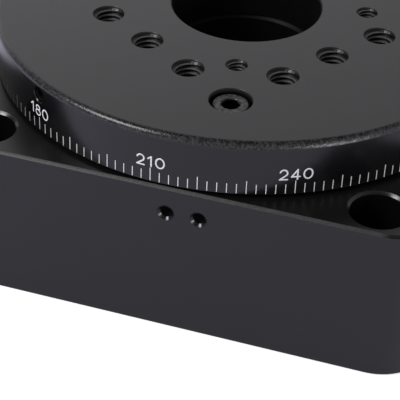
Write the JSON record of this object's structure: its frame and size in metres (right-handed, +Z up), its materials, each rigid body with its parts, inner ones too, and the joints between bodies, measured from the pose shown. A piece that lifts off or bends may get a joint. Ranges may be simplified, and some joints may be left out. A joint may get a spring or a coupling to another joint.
{
  "type": "rotation stage",
  "caption": "Graduated round table on a worm-driven bearing in a bolt-down housing, with a clear centre aperture, a grid of tapped holes, a hand knob and a table lock.",
  "frame": {"origin": "on the table's axis of rotation, in the plane of the table's top face", "axes": "+Z up along the axis of rotation, +X along the worm towards the hand knob, -Y towards the front of the base; it stands on its underside at Z = -0.044"},
  "size_m": [0.1344, 0.1138, 0.044],
  "materials": {
    "black_anodised": "bead-blasted black anodised",
    "hub_anodised": "turned black anodised",
    "knob_anodised": "turned black anodised",
    "dial_aluminium": "satin clear anodised",
    "plain_aluminium": "turned",
    "black_screw": "black oxide",
    "screw_steel": "plain",
    "plain_steel": "ground",
    "spring_steel": "blued",
    "bearing_steel": "ground and polished",
    "bronze": "hobbed",
    "cage_brass": "turned"
  },
  "bodies": {
    "base": {"base_housing": "black_anodised", "bottom_cover": "black_anodised", "cover_screws": "black_screw", "bearing_outer_ring": "bearing_steel", "outer_clamp_ring": "plain_aluminium", "clamp_ring_screws": "screw_steel", "front_set_screws": "black_screw", "worm_bearing_outer_rings": "bearing_steel", "worm_bearing_balls": "bearing_steel", "preload_spring": "spring_steel", "worm_cap": "black_anodised", "knob_side_cap": "black_anodised", "cap_screws": "black_screw"},
    "table": {"rotary_table": "black_anodised", "table_screws": "black_screw", "hub": "hub_anodised", "worm_wheel": "bronze", "wheel_screws": "screw_steel", "bearing_inner_ring": "bearing_steel", "bearing_lock_nut": "plain_steel"},
    "ball_cage": {"bearing_balls": "bearing_steel", "bearing_cage": "cage_brass"},
    "worm": {"worm_shaft": "plain_steel", "worm_bearing_inner_rings": "bearing_steel", "retaining_rings": "spring_steel", "drive_dial": "dial_aluminium", "hand_knob": "knob_anodised", "knob_set_screws": "black_screw"},
    "lock_shoe": {"lock_shoe": "cage_brass"},
    "lock_screw": {"lock_screw": "knob_anodised"}
  },
  "joints": [
    {"name": "table_turn", "type": "hinge", "parent": "base", "child": "table", "pos_m": [0, 0, 0], "axis": [0, 0, 1], "continuous": true},
    {"name": "cage_turn", "type": "hinge", "parent": "base", "child": "ball_cage", "pos_m": [0, 0, -0.0338], "axis": [0, 0, 1], "continuous": true},
    {"name": "worm_turn", "type": "hinge", "parent": "base", "child": "worm", "pos_m": [0, 0.041, -0.0233], "axis": [1, 0, 0], "continuous": true},
    {"name": "lock_slide", "type": "slide", "parent": "base", "child": "lock_shoe", "axis": [-1, 0, 0], "range_m": [0, 0.00028]},
    {"name": "lock_turn", "type": "hinge", "parent": "lock_shoe", "child": "lock_screw", "pos_m": [0.05, 0, -0.01495], "axis": [-1, 0, 0], "range_deg": [0, 144]}
  ],
  "couplings": [
    {"joint": "worm_turn", "follows": "table_turn", "ratio": 90},
    {"joint": "cage_turn", "follows": "table_turn", "ratio": 0.4586},
    {"joint": "lock_turn", "follows": "lock_slide", "rad_per_m": 8976}
  ]
}
